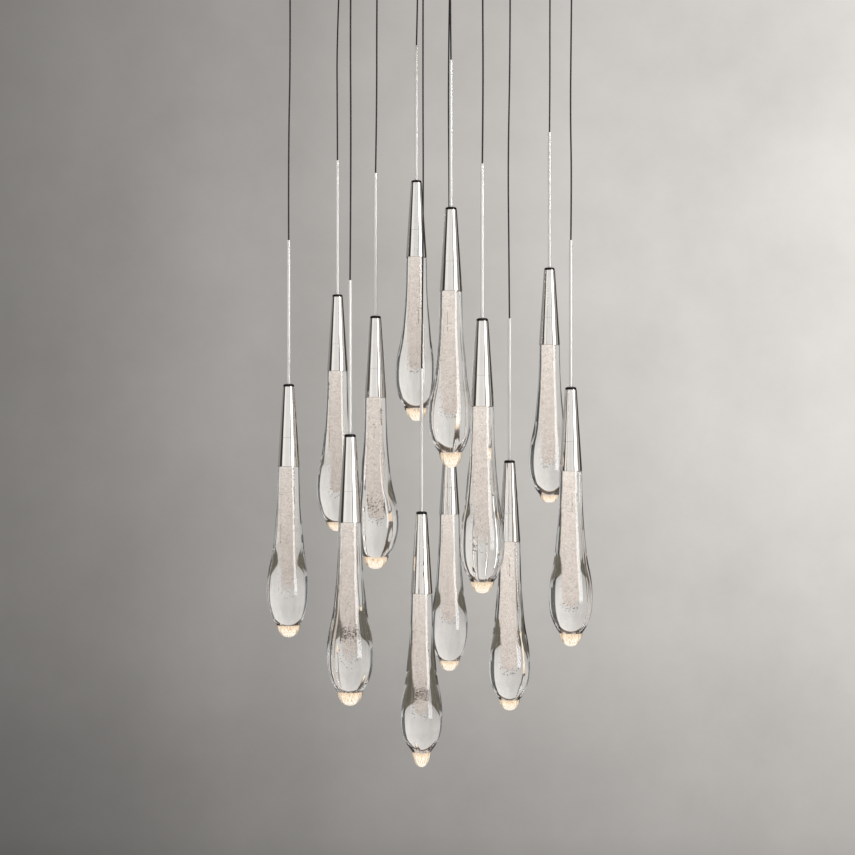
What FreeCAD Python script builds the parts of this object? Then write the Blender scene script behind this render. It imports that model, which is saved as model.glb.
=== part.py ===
import FreeCAD, Part
import math
import os
from FreeCAD import Vector

# A cluster of twelve solid glass drops, each lit from a slim nickel cone and hung on its own cord from a
# round ceiling canopy. Millimetres. The origin is the centre of the ceiling plate's top face, +Z is up,
# +X is to the right and +Y is away from someone who looks at the front.

os.makedirs("parts", exist_ok=True)

# ceiling plate
plate_diameter = 330.0
plate_thickness = 3.0
cable_hole_diameter = 22.0
box_screw_spacing = 88.9
box_screw_hole = 4.8
anchor_circle = 240.0
anchor_hole = 7.0
anchor_count = 4

# studs and the cap nuts that hold the canopy on them
stud_offset = 100.0
stud_diameter = 6.0
stud_in_nut = 8.5
stud_clearance = 0.3
cap_nut_flange_diameter = 16.0
cap_nut_flange = 2.0
cap_nut_diameter = 12.5
cap_nut_height = 13.0
cap_nut_floor = 1.5
thread_clearance = 0.1

# canopy pan
canopy_diameter = 660.0
canopy_depth = 50.0
canopy_wall = 2.0
canopy_edge_radius = 6.0

# cords and the grips that they leave the canopy through
cord_diameter = 3.0
cord_clearance = 0.45
cord_in_stem = 5.0
grip_thread_diameter = 10.0
grip_thread_length = 14.0
grip_flange_diameter = 18.0
grip_flange = 2.0
grip_mouth_diameter = 8.0
grip_below_canopy = 14.0
grip_nut_across_flats = 14.0
grip_nut_height = 5.0

# LED drivers and terminals, all on the underside of the ceiling plate
driver_length = 150.0
driver_width = 42.0
driver_height = 28.0
driver_corner_radius = 3.0
driver_tab = 12.0
driver_tab_thickness = 2.0
driver_from_middle = 75.0
driver_screw_diameter = 3.5
driver_screw_head_diameter = 7.0
driver_screw_head = 2.4
driver_screw_clearance = 0.1
mains_ways = 3
led_ways = 12
terminal_pitch = 8.0
terminal_end = 3.0
terminal_depth = 16.0
terminal_height = 12.0
terminal_hole_diameter = 3.2
terminal_screw_hole_diameter = 3.6
mains_terminal_y = -32.0
led_terminal_y = 30.0
earth_screw_x = 80.0
earth_screw_y = 32.0
earth_screw_diameter = 4.0
earth_head_diameter = 8.0
earth_head = 3.0

# stem
stem_diameter = 6.35
stem_bore = 4.5
stem_mouth_depth = 3.0
stem_length = 266.0
stem_past_nut = 1.5
stem_clearance = 0.12
lock_nut_across_flats = 11.0
lock_nut_height = 5.0

# cap nut, upper cone and collar
cap_diameter = 20.4
cap_height = 5.4
cap_edge_radius = 3.2
cone_top_diameter = 20.8
cone_bottom_diameter = 38.6
cone_length = 147.5
cone_top_wall = 3.0
cone_wall = 1.7
cone_step = 48.0
collar_length = 53.5
collar_ledge = 5.0
spigot_height = 14.0
spigot_wall = 2.0

# heat sink and LED board
heat_sink_above_spigot = 6.0
led_board_thickness = 1.6
led_emitter_diameter = 6.0
led_emitter_height = 1.2
led_to_glass = 1.5

# glass drop
glass_clearance = 0.3
glass_shank_chamfer = 1.0
neck_diameter = 40.6
neck_edge_radius = 1.0
neck_slimness = 0.206
shoulder_inset = 5.6
shoulder_rise = 56.0
bulb_rise = 59.0
nub_root_diameter = 44.0
nub_height = 26.0

# Each cord's route, from inside its grip to inside its stem. The first point is also where the cord hangs
# on the canopy, and the last one is on the axis of its pendant.
cord_routes = [
    [(-265.0, -33.0, -60.0), (-263.6, -32.2, -240.0), (-267.6, -34.0, -430.0), (-267.0, -33.0, -598.0)],
    [(-185.5, 209.0, -60.0), (-190.2, 206.9, -180.0), (-189.4, 208.8, -300.0), (-189.0, 208.0, -414.0)],
    [(-142.0, -246.0, -60.0), (-143.8, -247.4, -250.0), (-142.2, -246.2, -460.0), (-144.0, -247.0, -690.0)],
    [(-103.7, -6.5, -60.0), (-104.9, -5.2, -190.0), (-104.6, -6.6, -330.0), (-107.0, -6.0, -470.0)],
    [(-29.5, 188.3, -60.0), (-30.2, 187.3, -124.0), (-32.0, 188.0, -190.0)],
    [(30.7, -109.3, -60.0), (31.2, -108.1, -168.0), (32.5, -109.0, -280.0)],
    [(85.2, -256.2, -60.0), (85.0, -257.8, -200.0), (86.2, -256.6, -350.0), (84.5, -257.0, -490.0)],
    [(145.2, 14.0, -60.0), (145.4, 13.0, -230.0), (141.2, 14.8, -440.0), (142.8, 13.6, -600.0), (144.0, 14.0, -740.0)],
    [(231.2, 171.4, -60.0), (230.7, 172.8, -160.0), (230.9, 171.6, -262.0), (230.0, 172.0, -364.0)],
    [(252.2, -99.4, -60.0), (250.9, -98.2, -210.0), (249.0, -99.8, -370.0), (251.5, -98.6, -480.0),
     (250.0, -99.0, -605.0)],
    [(-18.0, -9.4, -60.0), (-18.8, -11.2, -280.0), (-17.4, -9.2, -540.0), (-21.0, -10.0, -835.0)],
    [(34.5, 254.4, -60.0), (31.4, 253.0, -230.0), (33.6, 254.8, -460.0), (34.0, 254.0, -700.0)],
]

# Each drop's own glass length and bulb diameter: they are formed by hand, so no two are quite alike.
drop_sizes = [
    (316.0, 76.5),
    (318.0, 76.0),
    (317.0, 80.5),
    (320.0, 75.0),
    (323.0, 76.0),
    (319.0, 78.0),
    (322.0, 77.0),
    (317.0, 77.0),
    (310.0, 76.0),
    (318.0, 79.0),
    (324.0, 78.0),
    (316.0, 74.5),
]

# sizes that follow from the ones above
cord_radius = cord_diameter / 2
cord_bore_radius = cord_radius + cord_clearance
stem_radius = stem_diameter / 2
cone_base_z = -(stem_length + cap_height + cone_length)
cone_top_z = -(stem_length + cap_height)
seam_z = cone_base_z + collar_length
ledge_z = seam_z - collar_ledge
driver_screw_x = (driver_length + driver_tab) / 2


def at_angle(radius, degrees):
    turn = math.radians(degrees)
    return radius * math.cos(turn), radius * math.sin(turn)


def edge(start, end):
    return Part.LineSegment(Vector(start[0], 0, start[1]), Vector(end[0], 0, end[1])).toShape()


def bend(start, middle, end):
    points = [Vector(r, 0, z) for r, z in (start, middle, end)]
    return Part.Arc(*points).toShape()


def turned(edges):
    """One full turn about Z of a closed outline in radius and height."""
    return Part.Face(Part.Wire(edges)).revolve(Vector(0, 0, 0), Vector(0, 0, 1), 360)


def turned_corners(corners):
    """The same for an outline of straight sides."""
    return turned([edge(a, b) for a, b in zip(corners, corners[1:] + corners[:1])])


def cylinder(diameter, low, high, x=0.0, y=0.0):
    return Part.makeCylinder(diameter / 2, high - low, Vector(x, y, low))


def hexagon(across_flats, low, high):
    corner = across_flats / math.sqrt(3)
    ring = [Vector(*at_angle(corner, 60 * i), low) for i in range(6)]
    return Part.Face(Part.makePolygon(ring + ring[:1])).extrude(Vector(0, 0, high - low))


def placed(shape, x, y, z=0.0):
    copy = shape.copy()
    copy.translate(Vector(x, y, z))
    return copy


def save(node, solids):
    shape = solids[0] if len(solids) == 1 else Part.makeCompound(solids)
    shape.exportStep("parts/" + node + ".step")


# ---- canopy -------------------------------------------------------------------------------------------

hang_points = [route[0] for route in cord_routes]
stud_places = [(x, y) for x in (-stud_offset, stud_offset) for y in (-stud_offset, stud_offset)]
driver_screw_places = [(x, y) for x in (-driver_screw_x, driver_screw_x)
                       for y in (-driver_from_middle, driver_from_middle)]


def ceiling_plate():
    plate = cylinder(plate_diameter, -plate_thickness, 0)
    holes = [(cable_hole_diameter, 0, 0)]
    holes += [(box_screw_hole, side * box_screw_spacing / 2, 0) for side in (-1, 1)]
    for i in range(anchor_count):
        x, y = at_angle(anchor_circle / 2, 360 * i / anchor_count)
        holes.append((anchor_hole, x, y))
    holes += [(driver_screw_diameter + driver_screw_clearance, x, y) for x, y in driver_screw_places]
    holes.append((earth_screw_diameter + driver_screw_clearance, earth_screw_x, earth_screw_y))
    return plate.cut([cylinder(d, -plate_thickness - 1, 1, x, y) for d, x, y in holes])


def plate_stud():
    return cylinder(stud_diameter, -canopy_depth - stud_in_nut, -plate_thickness)


def canopy_pan():
    """A spun pan: straight rim, rolled edge and flat floor, with a hole for each grip and stud."""
    radius = canopy_diameter / 2
    roll = canopy_edge_radius
    inner_roll = roll - canopy_wall
    middle = roll * math.sqrt(0.5)
    inner_middle = inner_roll * math.sqrt(0.5)
    hub = (radius - roll, -canopy_depth + roll)
    outline = [
        edge((0, -canopy_depth + canopy_wall), (0, -canopy_depth)),
        edge((0, -canopy_depth), (hub[0], -canopy_depth)),
        bend((hub[0], -canopy_depth), (hub[0] + middle, hub[1] - middle), (radius, hub[1])),
        edge((radius, hub[1]), (radius, 0)),
        edge((radius, 0), (radius - canopy_wall, 0)),
        edge((radius - canopy_wall, 0), (radius - canopy_wall, hub[1])),
        bend((radius - canopy_wall, hub[1]), (hub[0] + inner_middle, hub[1] - inner_middle),
             (hub[0], -canopy_depth + canopy_wall)),
        edge((hub[0], -canopy_depth + canopy_wall), (0, -canopy_depth + canopy_wall)),
    ]
    low, high = -canopy_depth - 1, -canopy_depth + canopy_wall + 1
    holes = [cylinder(grip_thread_diameter + 2 * thread_clearance, low, high, x, y) for x, y, z in hang_points]
    holes += [cylinder(stud_diameter + 2 * stud_clearance, low, high, x, y) for x, y in stud_places]
    return turned(outline).cut(holes)


def cap_nut():
    """A domed nut under the canopy, blind, on the end of a stud."""
    top = -canopy_depth
    bottom = top - cap_nut_height
    bore = stud_diameter / 2 + thread_clearance
    flange = cap_nut_flange_diameter / 2
    dome = cap_nut_diameter / 2
    spring = bottom + dome
    floor = bottom + cap_nut_floor
    return turned([
        edge((bore, top), (flange, top)),
        edge((flange, top), (flange, top - cap_nut_flange)),
        edge((flange, top - cap_nut_flange), (dome, top - cap_nut_flange)),
        edge((dome, top - cap_nut_flange), (dome, spring)),
        bend((dome, spring), (dome * math.sqrt(0.5), spring - dome * math.sqrt(0.5)), (0, bottom)),
        edge((0, bottom), (0, floor)),
        edge((0, floor), (bore, floor)),
        edge((bore, floor), (bore, top)),
    ])


def cord_grip():
    """A flanged gland: threaded shank through the canopy's floor, and a tapered mouth below it."""
    top = -canopy_depth
    exit_z = top - grip_below_canopy
    bore = cord_bore_radius
    return turned_corners([
        (bore, top + grip_thread_length),
        (grip_thread_diameter / 2, top + grip_thread_length),
        (grip_thread_diameter / 2, top),
        (grip_flange_diameter / 2, top),
        (grip_flange_diameter / 2, top - grip_flange),
        (grip_mouth_diameter / 2 + 1, exit_z + 1),
        (grip_mouth_diameter / 2, exit_z),
        (bore, exit_z),
    ])


def grip_nut():
    low = -canopy_depth + canopy_wall
    nut = hexagon(grip_nut_across_flats, low, low + grip_nut_height)
    return nut.cut(cylinder(grip_thread_diameter + 2 * thread_clearance, low - 1, low + grip_nut_height + 1))


def driver(y):
    """A driver's case with a screw tab at each end, flat against the ceiling plate."""
    top = -plate_thickness
    case = Part.makeBox(driver_length, driver_width, driver_height,
                        Vector(-driver_length / 2, y - driver_width / 2, top - driver_height))
    upright = [e for e in case.Edges if abs(e.Vertexes[0].Z - e.Vertexes[1].Z) > driver_height / 2]
    case = case.makeFillet(driver_corner_radius, upright)
    tabs = Part.makeBox(driver_length + 2 * driver_tab, driver_width / 2, driver_tab_thickness,
                        Vector(-driver_length / 2 - driver_tab, y - driver_width / 4, top - driver_tab_thickness))
    holes = [cylinder(driver_screw_diameter + 2 * driver_screw_clearance, top - driver_tab_thickness - 1, top + 1, x, y)
             for x in (-driver_screw_x, driver_screw_x)]
    return case.fuse(tabs).removeSplitter().cut(holes)


def driver_screw():
    under = -plate_thickness - driver_tab_thickness
    head = cylinder(driver_screw_head_diameter, under - driver_screw_head, under)
    return head.fuse(cylinder(driver_screw_diameter, under, -driver_screw_clearance)).removeSplitter()


def terminal(ways, y):
    """A screw terminal block: a wire hole right through each way, and a screw hole under it."""
    length = ways * terminal_pitch + 2 * terminal_end
    top = -plate_thickness
    bottom = top - terminal_height
    block = Part.makeBox(length, terminal_depth, terminal_height,
                         Vector(-length / 2, y - terminal_depth / 2, bottom))
    holes = []
    for way in range(ways):
        x = (way - (ways - 1) / 2) * terminal_pitch
        wire = Part.makeCylinder(terminal_hole_diameter / 2, terminal_depth + 2,
                                 Vector(x, y - terminal_depth / 2 - 1, top - terminal_height / 2), Vector(0, 1, 0))
        holes += [wire, cylinder(terminal_screw_hole_diameter, bottom - 1, bottom + terminal_height / 2, x, y)]
    return block.cut(holes)


def earth_screw():
    top = -plate_thickness
    head = Part.makeCylinder(earth_head_diameter / 2, earth_head, Vector(0, 0, top - earth_head))
    screw = head.fuse(cylinder(earth_screw_diameter, top, -driver_screw_clearance)).removeSplitter()
    return placed(screw, earth_screw_x, earth_screw_y)


# ---- pendant: heights count from the stem's top, which is at 0 ------------------------------------------

def cone_radius(z):
    """The outer radius of the cone and collar at a height."""
    share = (cone_top_z - z) / cone_length
    return (cone_top_diameter + share * (cone_bottom_diameter - cone_top_diameter)) / 2


upper_bore = cone_radius(cone_top_z - cone_top_wall) - cone_wall
lower_bore = cone_radius(cone_top_z - cone_step) - cone_wall
spigot_radius = lower_bore - thread_clearance
spigot_bore = spigot_radius - spigot_wall
collar_bore = cone_radius(ledge_z) - cone_wall


def stem():
    """A tube with a narrower mouth for the cord, down through cap nut, cone and lock nut."""
    bottom = cone_top_z - cone_top_wall - lock_nut_height - stem_past_nut
    return turned_corners([
        (cord_bore_radius, 0),
        (stem_radius, 0),
        (stem_radius, bottom),
        (stem_bore / 2, bottom),
        (stem_bore / 2, -stem_mouth_depth),
        (cord_bore_radius, -stem_mouth_depth),
    ])


def lock_nut():
    high = cone_top_z - cone_top_wall
    nut = hexagon(lock_nut_across_flats, high - lock_nut_height, high)
    return nut.cut(cylinder(stem_diameter + 2 * stem_clearance, high - lock_nut_height - 1, high + 1))


def cap():
    """The dark domed cap nut on the cone's top face."""
    bore = stem_radius + stem_clearance
    radius = cap_diameter / 2
    top = cone_top_z + cap_height
    roll = cap_edge_radius
    side = roll * (1 - math.sqrt(0.5))
    return turned([
        edge((bore, cone_top_z), (radius, cone_top_z)),
        edge((radius, cone_top_z), (radius, top - roll)),
        bend((radius, top - roll), (radius - side, top - side), (radius - roll, top)),
        edge((radius - roll, top), (bore, top)),
        edge((bore, top), (bore, cone_top_z)),
    ])


def upper_cone():
    """A tapered shell with a solid top and two straight bores, the lower one for the collar's spigot."""
    step_z = cone_top_z - cone_step
    return turned_corners([
        (stem_radius + stem_clearance, cone_top_z),
        (cone_radius(cone_top_z), cone_top_z),
        (cone_radius(seam_z), seam_z),
        (lower_bore, seam_z),
        (lower_bore, step_z),
        (upper_bore, step_z),
        (upper_bore, cone_top_z - cone_top_wall),
        (stem_radius + stem_clearance, cone_top_z - cone_top_wall),
    ])


def collar():
    """It carries on the cone's taper: a spigot up into the cone, a ledge, and the bore for the glass."""
    return turned_corners([
        (spigot_bore, seam_z + spigot_height),
        (spigot_radius, seam_z + spigot_height),
        (spigot_radius, seam_z),
        (cone_radius(seam_z), seam_z),
        (cone_radius(cone_base_z), cone_base_z),
        (collar_bore, cone_base_z),
        (collar_bore, ledge_z),
        (spigot_bore, ledge_z),
    ])


def heat_sink():
    return cylinder(2 * (spigot_bore - thread_clearance), ledge_z, seam_z + spigot_height + heat_sink_above_spigot)


def led_board():
    """The board under the heat sink, with the emitter's dome under it."""
    low = ledge_z - led_board_thickness
    board = cylinder(2 * (spigot_bore - thread_clearance), low, ledge_z)
    emitter = Part.makeCone(led_emitter_diameter / 2 - led_emitter_height / 2, led_emitter_diameter / 2,
                            led_emitter_height, Vector(0, 0, low - led_emitter_height))
    return board.fuse(emitter).removeSplitter()


def swell(peak, drop, inset):
    """How far an arc that is upright at its peak has come in, half way down its height."""
    radius = (drop * drop + inset * inset) / (2 * inset)
    return peak - radius + math.sqrt(radius * radius - drop * drop / 4)


def glass_drop(length, bulb_diameter):
    """One solid piece: shank in the collar, long hollow-sided neck, bulb, and a round nub at the tip."""
    top = ledge_z - led_board_thickness - led_emitter_height - led_to_glass
    shank = collar_bore - glass_clearance
    shoulder_z = cone_base_z - glass_clearance
    neck = neck_diameter / 2
    bulb = bulb_diameter / 2
    tip_z = shoulder_z - length
    root_z = tip_z + nub_height
    widest_z = root_z + bulb_rise
    swell_z = widest_z + shoulder_rise
    swell_radius = bulb - shoulder_inset
    neck_z = shoulder_z - neck_edge_radius
    round_off = neck_edge_radius * (1 - math.sqrt(0.5))
    nub = nub_root_diameter / 2
    nub_radius = (nub * nub + nub_height * nub_height) / (2 * nub_height)
    nub_side = nub_radius * math.sqrt(0.5)
    return turned([
        edge((0, top), (shank - glass_shank_chamfer, top)),
        edge((shank - glass_shank_chamfer, top), (shank, top - glass_shank_chamfer)),
        edge((shank, top - glass_shank_chamfer), (shank, shoulder_z)),
        edge((shank, shoulder_z), (neck - neck_edge_radius, shoulder_z)),
        bend((neck - neck_edge_radius, shoulder_z), (neck - round_off, shoulder_z - round_off), (neck, neck_z)),
        bend((neck, neck_z), (neck + neck_slimness * (swell_radius - neck), (neck_z + swell_z) / 2),
             (swell_radius, swell_z)),
        bend((swell_radius, swell_z), (swell(bulb, shoulder_rise, shoulder_inset), (swell_z + widest_z) / 2),
             (bulb, widest_z)),
        bend((bulb, widest_z), (swell(bulb, bulb_rise, bulb - nub), (widest_z + root_z) / 2), (nub, root_z)),
        bend((nub, root_z), (nub_side, tip_z + nub_radius - nub_side), (0, tip_z)),
        edge((0, tip_z), (0, top)),
    ])


def cord(route):
    """A tube of straight runs and the largest tangent arcs that they have room for."""
    points = [Vector(*p) for p in route]
    path = []
    last = points[0]
    radii = []
    for before, corner, after in zip(points, points[1:], points[2:]):
        back = (before - corner).normalize()
        ahead = (after - corner).normalize()
        half_turn = (math.pi - back.getAngle(ahead)) / 2
        reach = 0.45 * min((before - corner).Length, (after - corner).Length)
        radius = reach / math.tan(half_turn)
        inward = (back + ahead).normalize() * (radius / math.cos(half_turn) - radius)
        path.append(Part.LineSegment(last, corner + back * reach).toShape())
        path.append(Part.Arc(corner + back * reach, corner + inward, corner + ahead * reach).toShape())
        last = corner + ahead * reach
        radii.append(round(radius))
    path.append(Part.LineSegment(last, points[-1]).toShape())
    spine = Part.Wire(path)
    section = Part.Wire(Part.Circle(points[0], points[1] - points[0], cord_radius).toShape())
    tube = spine.makePipeShell([section], True, False)
    ideal = math.pi * cord_radius ** 2 * spine.Length
    print("cord", round(spine.Length, 1), "mm, bend radii", radii, "volume ratio", round(tube.Volume / ideal, 5))
    return tube


def pendant(number, route, length, bulb_diameter):
    """Save one pendant's nodes: cord, stem, cone and glass drop."""
    tag = "_%02d" % number
    x, y, z = route[-1]
    top = z + cord_in_stem
    save("cord" + tag, [cord(route)])
    save("stem" + tag, [placed(s, x, y, top) for s in (stem(), lock_nut())])
    metal = (cap(), upper_cone(), collar(), heat_sink(), led_board())
    save("cone" + tag, [placed(s, x, y, top) for s in metal])
    save("drop" + tag, [placed(glass_drop(length, bulb_diameter), x, y, top)])


save("ceiling_plate", [ceiling_plate()])
save("plate_studs", [placed(plate_stud(), x, y) for x, y in stud_places])
save("canopy_pan", [canopy_pan()])
save("canopy_cap_nuts", [placed(cap_nut(), x, y) for x, y in stud_places])
save("cord_grips", [placed(cord_grip(), x, y) for x, y, z in hang_points])
save("grip_nuts", [placed(grip_nut(), x, y) for x, y, z in hang_points])
save("driver_front", [driver(-driver_from_middle)])
save("driver_rear", [driver(driver_from_middle)])
save("driver_screws", [placed(driver_screw(), x, y) for x, y in driver_screw_places])
save("mains_terminal", [terminal(mains_ways, mains_terminal_y)])
save("led_terminal", [terminal(led_ways, led_terminal_y)])
save("earth_screw", [earth_screw()])

for i, (route, sizes) in enumerate(zip(cord_routes, drop_sizes)):
    pendant(i + 1, route, *sizes)
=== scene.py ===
import math

import bpy
import numpy as np
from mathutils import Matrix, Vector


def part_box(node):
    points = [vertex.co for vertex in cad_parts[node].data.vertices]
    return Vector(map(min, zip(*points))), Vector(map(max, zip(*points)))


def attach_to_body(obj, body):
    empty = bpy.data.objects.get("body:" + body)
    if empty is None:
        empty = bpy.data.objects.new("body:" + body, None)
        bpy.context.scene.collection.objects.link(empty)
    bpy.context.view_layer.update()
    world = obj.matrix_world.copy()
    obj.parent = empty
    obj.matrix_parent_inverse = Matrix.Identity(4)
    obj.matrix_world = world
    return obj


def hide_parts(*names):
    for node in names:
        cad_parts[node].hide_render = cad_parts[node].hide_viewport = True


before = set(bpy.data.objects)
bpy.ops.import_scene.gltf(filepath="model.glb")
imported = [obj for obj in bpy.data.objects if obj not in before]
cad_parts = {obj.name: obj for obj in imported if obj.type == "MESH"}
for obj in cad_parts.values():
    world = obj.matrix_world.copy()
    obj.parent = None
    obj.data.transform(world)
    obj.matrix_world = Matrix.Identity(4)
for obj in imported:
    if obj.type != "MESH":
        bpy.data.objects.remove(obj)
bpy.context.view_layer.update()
scene = bpy.context.scene
scene.view_settings.view_transform = "Standard"
print("frame loaded:", len(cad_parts), "nodes")

cameraSetup = {
    "place": (-0.010, -3.303, -0.940),   # level, looking along +Y
    "lens": 74.36,
    "sensorWidth": 36.0,
}


def makeCamera(setup):
    data = bpy.data.cameras.new("photoCamera")
    data.lens = setup["lens"]
    data.sensor_width = setup["sensorWidth"]
    camera = bpy.data.objects.new("photoCamera", data)
    camera.location = setup["place"]
    camera.rotation_euler = (math.pi / 2, 0, 0)
    scene.collection.objects.link(camera)
    scene.camera = camera


makeCamera(cameraSetup)
print("camera made")

# The points of each cord in metres, from inside its grip down to inside its stem: the same as in the source.
cordPoints = [
    [(-0.265, -0.033, -0.06), (-0.2636, -0.0322, -0.24), (-0.2676, -0.034, -0.43), (-0.267, -0.033, -0.598)],
    [(-0.1855, 0.209, -0.06), (-0.1902, 0.2069, -0.18), (-0.1894, 0.2088, -0.3), (-0.189, 0.208, -0.414)],
    [(-0.142, -0.246, -0.06), (-0.1438, -0.2474, -0.25), (-0.1422, -0.2462, -0.46), (-0.144, -0.247, -0.69)],
    [(-0.1037, -0.0065, -0.06), (-0.1049, -0.0052, -0.19), (-0.1046, -0.0066, -0.33), (-0.107, -0.006, -0.47)],
    [(-0.0295, 0.1883, -0.06), (-0.0302, 0.1873, -0.124), (-0.032, 0.188, -0.19)],
    [(0.0307, -0.1093, -0.06), (0.0312, -0.1081, -0.168), (0.0325, -0.109, -0.28)],
    [(0.0852, -0.2562, -0.06), (0.085, -0.2578, -0.2), (0.0862, -0.2566, -0.35), (0.0845, -0.257, -0.49)],
    [(0.1452, 0.014, -0.06), (0.1454, 0.013, -0.23), (0.1412, 0.0148, -0.44), (0.1428, 0.0136, -0.6),
     (0.144, 0.014, -0.74)],
    [(0.2312, 0.1714, -0.06), (0.2307, 0.1728, -0.16), (0.2309, 0.1716, -0.262), (0.23, 0.172, -0.364)],
    [(0.2522, -0.0994, -0.06), (0.2509, -0.0982, -0.21), (0.249, -0.0998, -0.37), (0.2515, -0.0986, -0.48),
     (0.25, -0.099, -0.605)],
    [(-0.018, -0.0094, -0.06), (-0.0188, -0.0112, -0.28), (-0.0174, -0.0092, -0.54), (-0.021, -0.01, -0.835)],
    [(0.0345, 0.2544, -0.06), (0.0314, 0.253, -0.23), (0.0336, 0.2548, -0.46), (0.034, 0.254, -0.7)],
]

cord = {
    "diameter": 0.003,
    "exitHeight": -0.064,                # where the grip's mouth lets it go
    "lengths": [0.538, 0.354, 0.630, 0.410, 0.130, 0.220, 0.430, 0.680, 0.304, 0.545, 0.775, 0.640],
}

tags = ["%02d" % (i + 1) for i in range(len(cordPoints))]


# The points along one smooth spline that has the route's points as its control points.
def splineLine(tag, points):
    data = bpy.data.curves.new("cordLine_" + tag, "CURVE")
    data.dimensions = "3D"
    spline = data.splines.new("NURBS")
    spline.points.add(len(points) - 1)
    for point, place in zip(spline.points, points):
        point.co = (*place, 1)
    spline.order_u = 3
    spline.use_endpoint_u = True
    spline.resolution_u = 16
    line = bpy.data.objects.new("cordLine_" + tag, data)
    mesh = bpy.data.meshes.new_from_object(line)
    places = np.zeros(len(mesh.vertices) * 3)
    mesh.vertices.foreach_get("co", places)
    bpy.data.objects.remove(line)
    bpy.data.curves.remove(data)
    bpy.data.meshes.remove(mesh)
    return places.reshape(-1, 3)


# Rings square to a line: c + r (cos a s + sin a w), where s and w are at right angles to the line's direction.
def tubeRows(line, radius, columns):
    along = np.gradient(line, axis=0)
    along /= np.linalg.norm(along, axis=1)[:, None]
    side = np.cross(along, (0.0, 1.0, 0.0))
    side /= np.linalg.norm(side, axis=1)[:, None]
    width = np.cross(side, along)
    angle = np.linspace(0, 2 * np.pi, columns, endpoint=False)[None, :, None]
    return line[:, None] + radius * (np.cos(angle) * side[:, None] + np.sin(angle) * width[:, None])


# A taut cord, with its braid laid out by length in the second coordinate of its map.
def makeCord(tag, points):
    line = splineLine(tag, points)
    steps = np.linalg.norm(np.diff(line, axis=0), axis=1)
    turnsAlong = np.concatenate([[0], np.cumsum(steps)]) / (math.pi * cord["diameter"])
    piece = solidOfRows("blackCord_" + tag, tubeRows(line, cord["diameter"] / 2, 16), 60, turnsAlong)
    attach(piece, "hanger_" + tag, "black_cord", finishes["braid"], "cord_" + tag)


# A curve through the knots: on each span a cubic whose slopes are the central differences at its two ends.
def hermiteCurve(knots, count):
    x, y = np.array(knots, float).T
    slope = np.gradient(y, x)
    t = np.linspace(x[0], x[-1], count)
    i = np.clip(np.searchsorted(x, t) - 1, 0, len(x) - 2)
    span = x[i + 1] - x[i]
    s = (t - x[i]) / span
    value = ((2 * s**3 - 3 * s**2 + 1) * y[i] + (s**3 - 2 * s**2 + s) * span * slope[i]
             + (3 * s**2 - 2 * s**3) * y[i + 1] + (s**3 - s**2) * span * slope[i + 1])
    return t, value


# Each corner becomes a short parabola: (1-t)^2 start + 2t(1-t) corner + t^2 end, tangent to both sides.
def softCorners(corners, size, steps=5, closed=True):
    p = np.array(corners, float)
    before = np.roll(p, 1, axis=0) - p
    after = np.roll(p, -1, axis=0) - p
    reach = np.array(size, float) * np.ones(len(p))
    lengthBefore = np.linalg.norm(before, axis=1)
    lengthAfter = np.linalg.norm(after, axis=1)
    reach = np.minimum(reach, 0.45 * np.minimum(lengthBefore, lengthAfter))[:, None]
    start = p + before / lengthBefore[:, None] * reach
    end = p + after / lengthAfter[:, None] * reach
    t = np.linspace(0, 1, steps)[None, :, None]
    out = (1 - t)**2 * start[:, None] + 2 * t * (1 - t) * p[:, None] + t**2 * end[:, None]
    if not closed:
        out[0] = p[0]
        out[-1] = p[-1]
    return out.reshape(-1, 2)


# Quads between neighbouring rows of a grid whose columns go right round; the rows may close on themselves too.
def gridFaces(rows, columns, closedRows):
    i = np.arange(rows if closedRows else rows - 1)[:, None]
    j = np.arange(columns)[None, :]
    below = (i + 1) % rows
    beside = (j + 1) % columns
    quads = np.stack([i * columns + j, below * columns + j, below * columns + beside, i * columns + beside], -1)
    u = np.stack([j, j, j + 1, j + 1], -1) / columns + np.zeros(i.shape + (1,))
    v = np.stack([i, i + 1, i + 1, i], -1) / rows + np.zeros(j.shape + (1,))
    return quads.reshape(-1, 4), np.stack([u, v], -1).reshape(-1, 4, 2)


# Puts whole arrays into a mesh, shades it smooth and keeps the edges sharper than an angle.
def makeMesh(name, points, faces, uv=None, sharpAngle=35):
    mesh = bpy.data.meshes.new(name)
    mesh.from_pydata(np.asarray(points, float).reshape(-1, 3).tolist(), [], [list(f) for f in faces])
    if uv is not None:
        mesh.uv_layers.new(name="UVMap").data.foreach_set("uv", np.asarray(uv, np.float32).ravel())
    mesh.polygons.foreach_set("use_smooth", [True] * len(mesh.polygons))
    mesh.set_sharp_from_angle(angle=math.radians(sharpAngle))
    mesh.update()
    piece = bpy.data.objects.new(name, mesh)
    scene.collection.objects.link(piece)
    return piece


# An outline in radius and height turned about upright axes: x = r cos a, y = r sin a, z = h, at each place.
def turnedGrid(outline, places, columns, closed=True):
    outline = np.asarray(outline, float)
    angle = np.linspace(0, 2 * np.pi, columns, endpoint=False)
    r, h = outline[:, :1], outline[:, 1:]
    one = np.stack([r * np.cos(angle), r * np.sin(angle), h + 0 * angle], -1).reshape(-1, 3)
    quads, uv = gridFaces(len(outline), columns, closed)
    places = np.asarray(places, float).reshape(-1, 3)
    points = (one[None] + places[:, None]).reshape(-1, 3)
    faces = (quads[None] + len(one) * np.arange(len(places))[:, None, None]).reshape(-1, 4)
    return points, faces, np.tile(uv, (len(places), 1, 1))


def turnedPiece(name, outline, places, columns=64, sharpAngle=35):
    points, faces, uv = turnedGrid(outline, places, columns)
    return makeMesh(name, points, faces, uv, sharpAngle)


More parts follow.
